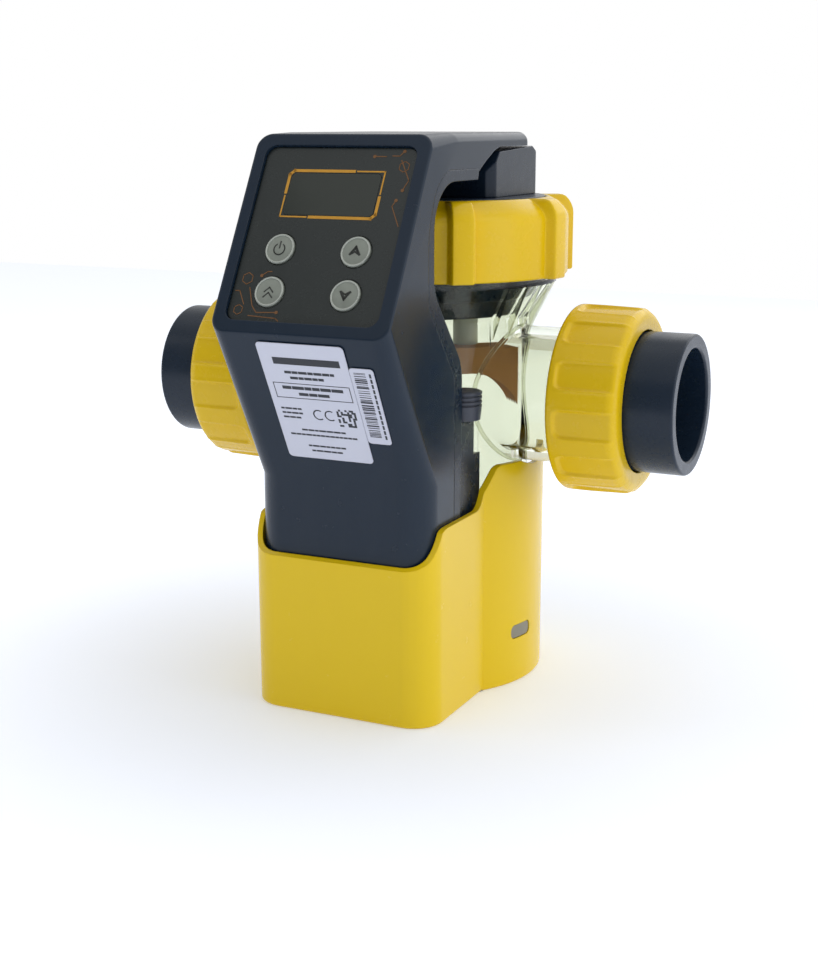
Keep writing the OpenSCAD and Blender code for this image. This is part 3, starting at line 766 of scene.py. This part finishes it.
def hullOf(rings):
    bm = bmesh.new()
    for radius, matrix, segments in rings:
        if radius:
            bmesh.ops.create_circle(bm, cap_ends=False, radius=radius, segments=segments, matrix=matrix)
        else:
            bm.verts.new(matrix.translation)
    wrap = bmesh.ops.convex_hull(bm, input=bm.verts)
    spare = [g for g in wrap["geom_interior"] + wrap["geom_unused"] if isinstance(g, bmesh.types.BMVert)]
    bmesh.ops.delete(bm, geom=list(set(spare)), context="VERTS")
    wires = [e for e in bm.edges if not e.link_faces]
    bmesh.ops.delete(bm, geom=wires, context="EDGES")
    bmesh.ops.recalc_face_normals(bm, faces=bm.faces)
    return bm


def bezelRings(inset, depth):
    c = controller
    r, w = c["bezelCorner"] - inset, c["bezelWidth"] / 2 - inset
    lip = c["bezelLip"]
    steps = [(lip, 0)] + [(lip * (1 - math.sin(math.radians(a))), lip * (1 - math.cos(math.radians(a))))
                          for a in (22.5, 45, 67.5, 90)] + [(0, 2)]
    return [(r - pull, onPanel(x * (w - r), row, depth - d), 48)
            for x in (-1, 1) for row in (c["bezelCorner"], c["bezelLength"] - c["bezelCorner"])
            for pull, d in steps]


def columnRings(inset, heights):
    c = controller
    w, f, r = c["halfWidth"] - inset, c["columnFront"] - inset, c["columnCorner"] - inset
    rings = []
    for z in heights:
        rings += [(r, shift(x * (w - r), -f + r, z), 64) for x in (-1, 1)]
        rings += [(0.9, shift(x * (w - 0.9), -c["columnBack"] - 0.9, z), 24) for x in (-1, 1)]
    return rings


def pointRings(points):
    return [(0, shift(*p), 0) for p in points]


def rearVoid():
    c = controller
    points = [(-c["columnBack"], -5), (-c["columnBack"], 155.4), (-79.4, 186), (-82, 192.5),
              (-82, 233.8), (-37.4, 233.8), (-36.5, 237.2), (-31, 240.5), (-18.8, 246),
              (-13, 247.5), (90, 247.5), (90, -5)]
    return sideOutline(points, 100, {1: 6, 2: 4, 4: 20, 7: 4})


def controllerSolid(inset, depth):
    c = controller
    w, top = c["halfWidth"] - inset, c["top"] - inset
    edge = 4.6 - inset / 2
    upperRings = bezelRings(inset, depth)
    for x in (-1, 1):
        for y in (-58, -60):
            upperRings.append((edge, shift(x * (w - edge), y, top - edge) @ rotation(90, "X"), 48))
    upperRings += pointRings([(x * w, y, z) for x in (-1, 1) for y in (-73, -74) for z in (184, 234)])
    upper = keep(hullOf(upperRings))
    lowerRings = bezelRings(inset, depth) + columnRings(inset, (c["columnTop"], c["columnTop"] + 1))
    lowerRings += pointRings([(x * w, y, z) for x in (-1, 1)
                              for y, z in ((-53, 106.6), (-53, 154.6), (-80, 184), (-80, 192), (-76, 192))])
    lower = keep(hullOf(lowerRings))
    column = keep(hullOf(columnRings(inset, (8 + inset, c["columnTop"] + 0.5))))
    rear = c["armRear"] - inset
    arm = sideOutline([(-73, 200), (-34, 200), (-34, 230), (rear, 230), (rear, top), (-59.5, top),
                       (-59.5, top - edge - 0.2), (-73, 233.5)], w)
    upright = [e for e in arm.edges if all(v.co.y > rear - 0.01 for v in e.verts)
               and abs(e.verts[0].co.z - e.verts[1].co.z) > 10]
    roundEdges(arm, upright, 5.4, 8)
    rim = [e for e in arm.edges if all(v.co.z > top - 0.01 for v in e.verts)
           and any(v.co.y > -59 for v in e.verts)]
    roundEdges(arm, rim, edge, 8)
    return addOn(upper, lower, column, keep(arm))


def backRegion(grow=0.0):
    s = controller["seam"] - grow
    return sideOutline([(s, -5), (s, 151), (-87, 183), (-87, 214), (-80.5, 231), (-70, 238.5),
                        (-36.3, 238.5), (-36.3, -5)], 100, {1: 3, 2: 3, 3: 5, 4: 5, 5: 3})


def screwHole(radius, start, length, x, z):
    return keep(placed(disc(radius, 0, length, 32), shift(x, start, z) @ rotation(90, "X")))


def makeController():
    c = controller
    whole = cutAway(controllerSolid(0.0, 0.0), keep(rearVoid()))
    bm = reopen(whole)
    spareMesh = bpy.data.meshes.new("spare")
    bm.to_mesh(spareMesh)
    front = keep(bm)
    rear = bpy.data.objects.new("rear", spareMesh)
    bpy.context.scene.collection.objects.link(rear)

    w, h, row = c["recess"]
    recess = keep(placed(plate(w, h, -3.5, 10, 5.0), onPanel(0, row, 0)))
    well = keep(placed(plate(w - 5, h - 5, -9.5, 10, 3.0), onPanel(0, row, 0)))
    gy, gz = c["gland"]
    glandHole = keep(placed(disc(6.2, -44, -38, 48), shift(0, gy, gz) @ rotation(90, "Y")))
    front = cutAway(front, keep(backRegion()), recess, well, glandHole)
    finishPiece(front, "controllerFront", "unit", ["controller_shell"], "housingNavy",
                edge=0, flat=0.5, sharp=30)

    rear = keepOnly(rear, keep(backRegion(-0.25)))
    cheeks = []
    for side in (1, -1):
        tall = block((33, -53.5, 8), (40.5, -36, 129.6))
        low = block((33, -53.5, 8), (40.5, -29, 112.4))
        if side < 0:
            placed(tall, Matrix.Scale(-1, 4, (1, 0, 0)))
            placed(low, Matrix.Scale(-1, 4, (1, 0, 0)))
        cheeks += [keep(tall), keep(low)]
    holes = [screwHole(3.4, -48, 6.8, x, z) for x, z in c["screws"]]
    rear = cutAway(addOn(rear, *cheeks), keep(disc(49.5, 0, 200, 160)), *holes)
    finishPiece(rear, "controllerBack", "unit", ["controller_back"], "coverNavy",
                edge=0, flat=0.5, sharp=30)


makeController()
print("controller built")


def makeTerminalCover():
    cover = block((-42, -20.5, 225.3), (42, 34.5, 247.3))
    upright = [e for e in cover.edges if abs(e.verts[0].co.z - e.verts[1].co.z) > 10]
    roundEdges(cover, [e for e in upright if e.verts[0].co.y < 0], 3.6, 1)
    upright = [e for e in cover.edges if abs(e.verts[0].co.z - e.verts[1].co.z) > 10]
    roundEdges(cover, [e for e in upright if e.verts[0].co.y > 30], 4.0, 8)
    slope = [(-30, 226), (-20.9, 236.4), (-13, 245.3), (27, 247.3), (35, 243.3), (50, 243.3),
             (50, 260), (-30, 260)]
    cover = cutAway(keep(cover), keep(sideOutline(slope, 60)))
    finishPiece(cover, "terminalCover", "unit", ["terminal_cover"], "coverNavy", edge=0.45,
                segments=2, sharp=28)


makeTerminalCover()

# nuts and tailpieces

topNut = {"radius": 70.5, "ribHeight": 4.5, "low": 190.0, "high": 225.0, "bore": 61.3, "lip": 55.6,
          "ribs": 8, "columns": 40, "ribHalf": 3.7, "ribEdge": 1.7, "shoulder": 7.5, "crown": 0.9,
          "turn": -6.9, "drop": 1.8}
unionNut = {"radius": 42.2, "rear": 76.0, "front": 108.0, "pads": 12, "columns": 32, "recess": 1.4,
            "padPhase": 0.26, "padHalf": 6.3, "padCorner": 3.2, "padStart": 3.5, "outline": 0.28}
tail = {"spigot": 31.5, "bore": 25.1, "water": 22.5, "end": 130.0, "socketDepth": 31.0}


def smoothStep(low, high, value):
    t = min(1.0, max(0.0, (value - low) / (high - low)))
    return t * t * (3 - 2 * t)


def between(first, last, count):
    return [tuple(a + (b - a) * (i + 1) / (count + 1) for a, b in zip(first, last)) for i in range(count)]


# gathers a ring's columns where the pattern bends, then moves each point; knots are share and degrees
def patternRing(bm, repeats, columns, turn, knots, newRadiusAndHeight):
    sector = 360 / repeats
    for v in bm.verts:
        r = math.hypot(v.co.x, v.co.y)
        if r < 1:
            continue
        column = round(math.degrees(math.atan2(v.co.y, v.co.x)) % 360 / (sector / columns))
        index, share = divmod(column, columns)
        share /= columns
        for (s0, a0), (s1, a1) in zip(knots, knots[1:]):
            if s0 <= share <= s1:
                local = a0 + (a1 - a0) * (share - s0) / (s1 - s0)
        angle = math.radians(turn + index * sector + local)
        radius, height = newRadiusAndHeight(r, v.co.z, local)
        v.co = (radius * math.cos(angle), radius * math.sin(angle), height)
    return bm


def makeTopNut():
    t = topNut
    r = t["radius"] - t["ribHeight"]
    section = [(t["bore"], t["low"]), (r, t["low"]), (r, t["high"] - 1), (t["lip"] + 1.5, t["high"] - 0.1),
               (t["lip"], t["high"] - 0.1), (t["lip"], 218.4), (t["bore"], 218.4)]
    bm = turned(section, t["ribs"] * t["columns"], {0: 0.6, 1: 1.0, 2: t["shoulder"], 4: 0.6})
    half, slope = t["ribHalf"], t["ribEdge"]
    knots = [(0, -22.5), (0.15, -half - slope - 2), (0.25, -half - slope), (0.42, -half), (0.58, half),
             (0.75, half + slope), (0.85, half + slope + 2), (1, 22.5)]

    def ribbed(radius, height, angle):
        if radius < t["lip"] + 0.7 or (radius < t["bore"] + 1.5 and height < 219):
            return radius, height
        rib = 1 - smoothStep(half, half + slope, abs(angle))
        out = smoothStep(t["lip"], t["lip"] + 4.5, radius)
        rise = smoothStep(t["high"] - 9, t["high"] - 2, height) * smoothStep(r + 1, r - 5, radius)
        fall = t["drop"] * (1 - rib) * smoothStep(t["high"] - 14, t["high"] - 3, height)
        fall *= smoothStep(t["lip"] + 1, t["lip"] + 6, radius)
        lifted = min(t["high"], height + t["crown"] * rib * rise)
        return radius + t["ribHeight"] * rib * out, lifted - fall

    patternRing(bm, t["ribs"], t["columns"], t["turn"], knots, ribbed)
    finishPiece(bm, "topNut", "lock_ring", ["top_nut"], "nutYellow", edge=0, flat=0,
                sharp=60)


def makeUnionNut(side, name, body, node):
    u = unionNut
    length = u["front"] - u["rear"]
    r = u["radius"]
    wall = between((r, 1.6), (r - 0.7, length - 5.2), 44)
    section = [(37.5, 0), (r, 0)] + wall + [(r - 0.7, length), (32.0, length), (32.0, 20.3), (37.5, 20.3)]
    bm = turned(section, u["pads"] * u["columns"], {1: 1.4, len(wall) + 2: 5.0, len(wall) + 3: 0.6})
    knots = [(0, -15), (0.12, -10.4), (0.36, -7.4), (0.64, 7.4), (0.88, 10.4), (1, 15)]

    def padded(radius, height, angle):
        if radius < 36 or (radius < 38 and height < 21):
            return radius, height
        across = abs(math.radians(angle)) * r - u["padHalf"] + u["padCorner"]
        along = u["padStart"] - height + u["padCorner"]
        reach = math.hypot(max(across, 0), max(along, 0)) + min(max(across, along), 0) - u["padCorner"]
        sunk = 1 - smoothStep(-0.9, 0.35, reach)
        rim = u["outline"] * math.exp(-((reach - 0.75) / 0.55) ** 2) * smoothStep(r - 3, r - 1, radius)
        limit = r - u["recess"]
        pulled = radius - max(0.0, radius - limit) * sunk
        return min(r, pulled + rim * (1 - sunk)) if radius < r - 0.01 else pulled, height

    patternRing(bm, u["pads"], u["columns"], u["padPhase"] * 30, knots, padded)
    placed(bm, shift(0, 0, u["rear"]))
    if side < 0:
        placed(bm, Matrix.Scale(-1, 4, (0, 0, 1)))
    alongPipe(bm)
    finishPiece(bm, name, body, [node], "nutYellow", edge=0, flat=0, sharp=60)


def makeTailpiece(side, name, body, node):
    t = tail
    start = t["end"] - t["socketDepth"]
    section = [(t["water"], 90.1), (35.6, 90.1), (35.6, 96.1), (31.3, 96.1), (31.3, 109),
               (t["spigot"], 109.3), (t["spigot"], t["end"]), (t["bore"], t["end"]),
               (t["bore"], start), (t["water"], start)]
    bm = turned(section, 144, {6: 1.2, 7: 1.2})
    if side < 0:
        placed(bm, Matrix.Scale(-1, 4, (0, 0, 1)))
    alongPipe(bm)
    finishPiece(bm, name, body, [node], "pipeNavy", edge=0.3, angle=40)


makeTopNut()
makeUnionNut(1, "unionNutRight", "right_nut", "union_nut_right")
makeUnionNut(-1, "unionNutLeft", "left_nut", "union_nut_left")
makeTailpiece(1, "tailpieceRight", "right_tail", "tailpiece_right")
makeTailpiece(-1, "tailpieceLeft", "left_tail", "tailpiece_left")
print("nuts and tailpieces turned")

# cable gland


def makeGland():
    y, z = controller["gland"]
    section = [(3.4, -10), (6, -10), (6, 3), (7.6, 3), (7.6, 10), (5.6, 13), (3.4, 13), (3.4, 10),
               (4.8, 10), (4.8, 4), (3.4, 4)]
    core = keep(turned(section, 64, {4: 0.8}))
    flange = keep(cutAwayCore(disc(9, 0.05, 3, 6), 4.5))
    nut = keep(cutAwayCore(disc(9, -6.6, -2.6, 6), 4.5))
    ribs = [keep(placed(block((7.2, -0.5, 4), (8.1, 0.5, 9.6)), rotation(a, "Z")))
            for a in range(0, 360, 30)]
    gland = addOn(core, flange, nut, *ribs)
    bm = placed(reopen(gland), shift(-controller["halfWidth"], y, z) @ rotation(-90, "Y"))
    finishPiece(bm, "cableGland", "unit", ["cable_gland"], "glandBlack", edge=0.2)


def cutAwayCore(bm, radius):
    return reopen(cutAway(keep(bm), keep(disc(radius, -20, 20, 64))))


makeGland()

# keypad

keypad = {
    "size": (70.6, 79.4),
    "row": 45.7,
    "window": (42.0, 19.5, 27.6),
    "buttonX": 17.6,
    "buttonRows": (52.9, 72.1),
    "buttonRadius": 6.7,
}


# a flat printed line of given width through points on a plane frame
def inkLine(bm, points, width, height, frameAt, closed=False):
    path = list(points) + ([points[0]] if closed else [])
    for (x0, r0), (x1, r1) in zip(path, path[1:]):
        length = math.hypot(x1 - x0, r1 - r0)
        if length < 0.01:
            continue
        angle = math.atan2(-(r1 - r0), x1 - x0)
        made = bmesh.ops.create_cube(bm, size=1.0)
        size = Matrix.Diagonal((length + width * 0.9, width, height, 1.0))
        place = frameAt((x0 + x1) / 2, (r0 + r1) / 2, height / 2) @ Matrix.Rotation(angle, 4, "Z")
        bmesh.ops.transform(bm, matrix=place @ size, verts=made["verts"])


def inkDot(bm, x, row, radius, height, frameAt, segments=24):
    made = bmesh.ops.create_cone(bm, cap_ends=True, segments=segments, radius1=radius, radius2=radius,
                                 depth=height)
    bmesh.ops.transform(bm, matrix=frameAt(x, row, height / 2), verts=made["verts"])


def makeKeypad():
    k = keypad
    w, h = k["size"]
    film = keep(placed(plate(w, h, -3.0, -1.6, 4.8), onPanel(0, k["row"], 0)))
    ww, wh, wr = k["window"]
    holes = [keep(placed(plate(ww, wh, -6, 4, 2.0), onPanel(0, wr, 0)))]
    for x in (-1, 1):
        for row in k["buttonRows"]:
            holes.append(keep(placed(disc(k["buttonRadius"] + 0.35, -6, 4, 64),
                                     onPanel(x * k["buttonX"], row, 0))))
    film = cutAway(film, *holes)
    finishPiece(film, "keypadFilm", "unit", ["keypad_panel"], "keypadFilm", edge=0.2,
                segments=2)
    window = placed(plate(ww - 0.2, wh - 0.2, -2.9, -1.55, 1.9), onPanel(0, wr, 0))
    finishPiece(window, "displayWindow", "unit", ["display_window"], "displayFilm",
                edge=0.15, segments=2)


def filmFrame(x, row, z):
    return onPanel(x, row, -1.56 + z)


def makePrintedTrim():
    gold = bmesh.new()
    top, low, left, right = 16.9, 38.0, -21.9, 22.2
    for points, width in (
            ([(left, 27), (left, top + 1.8), (left + 1.8, top), (8, top)], 1.3),
            ([(9.5, top), (right, top), (right, 27)], 0.65),
            ([(right, 28.5), (right, low - 1.8), (right - 1.8, low), (-8, low)], 1.3),
            ([(-9.5, low), (left, low), (left, 28.5)], 0.65)):
        inkLine(gold, points, width, 0.06, filmFrame)
    finishPiece(gold, "displayFrameLines", "unit", [], "goldInk", edge=0, flat=0)
    trace = bmesh.new()
    for points in ([(23.9, 9.7), (27.1, 9.7), (28.8, 7.6)], [(28.4, 11.7), (33.6, 20.6), (31.8, 25.1)],
                   [(30, 29.6), (28.8, 32.3), (33.6, 41)], [(16.2, 10), (21, 10)],
                   [(-23.2, 65), (-20.8, 63.1), (-18.9, 63)], [(-33.8, 72.2), (-31.8, 72.1)],
                   [(-27.4, 70.6), (-24.3, 78.5), (-21.6, 81.4), (-12.7, 80.9)],
                   [(-25, 82.9), (-12, 83.5), (-10.5, 84.6)], [(-31.8, 72.1), (-28.4, 78)]):
        inkLine(trace, points, 0.42, 0.06, filmFrame)
    for x, row in ((15.7, 10), (-23.2, 65), (31.8, 25.1), (30, 29.6), (-12.2, 80.9), (28.8, 7.6)):
        inkDot(trace, x, row, 0.75, 0.07, filmFrame)
    for cx, cr, size in ((30.2, 14.5, 2.4), (-29.5, 66.5, 2.6), (-30.4, 80.5, 2.2)):
        corners = [(cx + size * math.cos(math.radians(60 * i + 30)),
                    cr + size * math.sin(math.radians(60 * i + 30))) for i in range(6)]
        inkLine(trace, corners, 0.35, 0.06, filmFrame, closed=True)
    finishPiece(trace, "keypadTraces", "unit", [], "copperInk", edge=0, flat=0)


def makeButton(name, body, node, side, row, symbol):
    k = keypad
    r = k["buttonRadius"]
    place = onPanel(side * k["buttonX"], row, 0)
    section = [(0.01, -7), (2, -7), (2, -4.5), (r + 1.2, -4.5), (r + 1.2, -3.2), (r, -3.2),
               (r, -1.0), (r - 0.5, -0.72), (r - 1.0, -0.95), (r - 1.3, -0.95), (4.0, -0.78),
               (2.0, -0.66), (0.01, -0.62)]
    bm = placed(turned(section, 64), place)
    finishPiece(bm, name, body, [node], "keyLacquer", edge=0.12, angle=50, segments=2,
                flat=0, sharp=60)
    rim = placed(turned([(r - 0.95, -0.93), (r - 0.15, -0.93), (r - 0.28, -0.62), (r - 0.8, -0.62)], 64),
                 place)
    finishPiece(rim, name + "Rim", body, [], "keyRim", edge=0.06, angle=40, flat=0,
                segments=2)
    marks = bmesh.new()

    def markFrame(x, y, z):
        return place @ shift(x, -y, -0.80 + z)

    for points, width in symbol["lines"]:
        inkLine(marks, points, width, 0.2, markFrame)
    for x, y, radius, hole in symbol.get("rings", ()):
        count = 28
        arc = [(x + radius * math.sin(math.radians(hole + (360 - 2 * hole) * i / count)),
                y - radius * math.cos(math.radians(hole + (360 - 2 * hole) * i / count)))
               for i in range(count + 1)]
        inkLine(marks, arc, 0.5, 0.2, markFrame)
    finishPiece(marks, name + "Mark", body, [], "markDark", edge=0, flat=0)


symbols = {
    "power": {"lines": [([(0, -3.0), (0, -0.2)], 0.62)], "rings": [(0, 0.3, 2.5, 35)]},
    "boost": {"lines": [([(-2.0, 0.3), (0, -1.7), (2.0, 0.3)], 0.6),
                        ([(-2.0, 2.6), (0, 0.6), (2.0, 2.6)], 0.6)]},
    "up": {"lines": [([(-2.3, 1.4), (0, -2.2), (2.3, 1.4)], 0.7), ([(-2.0, 1.5), (0, 0.3), (2.0, 1.5)], 0.7),
                     ([(-1.2, 0.6), (0, -1.4), (1.2, 0.6)], 0.9)]},
    "down": {"lines": [([(-2.3, -1.4), (0, 2.2), (2.3, -1.4)], 0.7),
                       ([(-2.0, -1.5), (0, -0.3), (2.0, -1.5)], 0.7),
                       ([(-1.2, -0.6), (0, 1.4), (1.2, -0.6)], 0.9)]},
}

makeKeypad()
makePrintedTrim()
makeButton("buttonPower", "power_key", "button_power", -1, keypad["buttonRows"][0], symbols["power"])
makeButton("buttonBoost", "boost_key", "button_boost", -1, keypad["buttonRows"][1], symbols["boost"])
makeButton("buttonUp", "up_key", "button_up", 1, keypad["buttonRows"][0], symbols["up"])
makeButton("buttonDown", "down_key", "button_down", 1, keypad["buttonRows"][1], symbols["down"])
print("keypad printed")

# labels

label = {"size": (40.6, 59.6), "centre": (0.7, 33.0), "serial": (11.0, 38.4), "serialCentre": (26.6, 32.4),
         "seed": 7}


def slantFrame(x, row, z):
    return onSlant(x, row, 0.29 + z)


def wordBars(bm, chance, x0, x1, row, height, gap=0.7):
    x = x0
    while x < x1 - 0.6:
        w = min(chance.uniform(1.2, 4.2) * height / 1.4, x1 - x)
        inkLine(bm, [(x, row), (x + w, row)], height, 0.03, slantFrame)
        x += w + height * 0.9 + gap * 0.4
    return bm


def makeLabels():
    chance = random.Random(label["seed"])
    w, h = label["size"]
    cx, cr = label["centre"]
    sheet = placed(plate(w, h, 0.05, 0.28, 2.0, 6), onSlant(cx, cr, 0))
    finishPiece(sheet, "ratingLabel", "unit", ["rating_label"], "labelFilm", edge=0.06,
                segments=1)
    sw, sh = label["serial"]
    sx, sr = label["serialCentre"]
    strip = placed(plate(sw, sh, 0.05, 0.28, 1.6, 6), onSlant(sx, sr, 0))
    finishPiece(strip, "serialLabel", "unit", ["serial_label"], "labelFilm", edge=0.06,
                segments=1)
    ink = bmesh.new()
    inkLine(ink, [(-12, 12), (16, 12)], 3.4, 0.03, slantFrame)
    wordBars(ink, chance, -9, 13, 17.6, 1.3)
    wordBars(ink, chance, -7, 9, 20.4, 1.3)
    inkLine(ink, [(-16.5, 23.3), (19, 23.3), (19, 30.8), (-16.5, 30.8)], 0.35, 0.03, slantFrame, True)
    wordBars(ink, chance, -12, 15, 25.5, 1.6)
    wordBars(ink, chance, -5, 8, 28.6, 1.5)
    for row in (36.5, 38.8, 41.1):
        wordBars(ink, chance, -16, -7, row, 0.9)
    for cxr in (1.0, 6.4):
        arc = [(cxr + 2.4 * math.cos(math.radians(60 + 240 * i / 14)),
                38.8 + 2.4 * math.sin(math.radians(60 + 240 * i / 14))) for i in range(15)]
        inkLine(ink, arc, 0.55, 0.03, slantFrame)
    for i in range(9):
        for j in range(9):
            if chance.random() < 0.5:
                x, row = 10.2 + i, 35.5 + j
                inkLine(ink, [(x, row), (x + 0.12, row)], 0.95, 0.03, slantFrame)
    for row, x0, x1 in ((47.4, -9, 11), (50.0, -15, 17), (55.8, -8, 10), (58.4, -7, 8)):
        wordBars(ink, chance, x0, x1, row, 0.9)
    row = 15.5
    while row < 49.0:
        thick = chance.choice((0.25, 0.4, 0.7))
        inkLine(ink, [(23.0, row), (28.0, row)], thick, 0.03, slantFrame)
        row += thick + chance.choice((0.3, 0.45, 0.8))
    row = 16.0
    while row < 48.0:
        inkLine(ink, [(30.2, row), (30.2, row + 1.2)], 0.9, 0.03, slantFrame)
        row += 2.6
    finishPiece(ink, "labelPrint", "unit", [], "labelInk", edge=0, flat=0)


makeLabels()
print("labels laid")
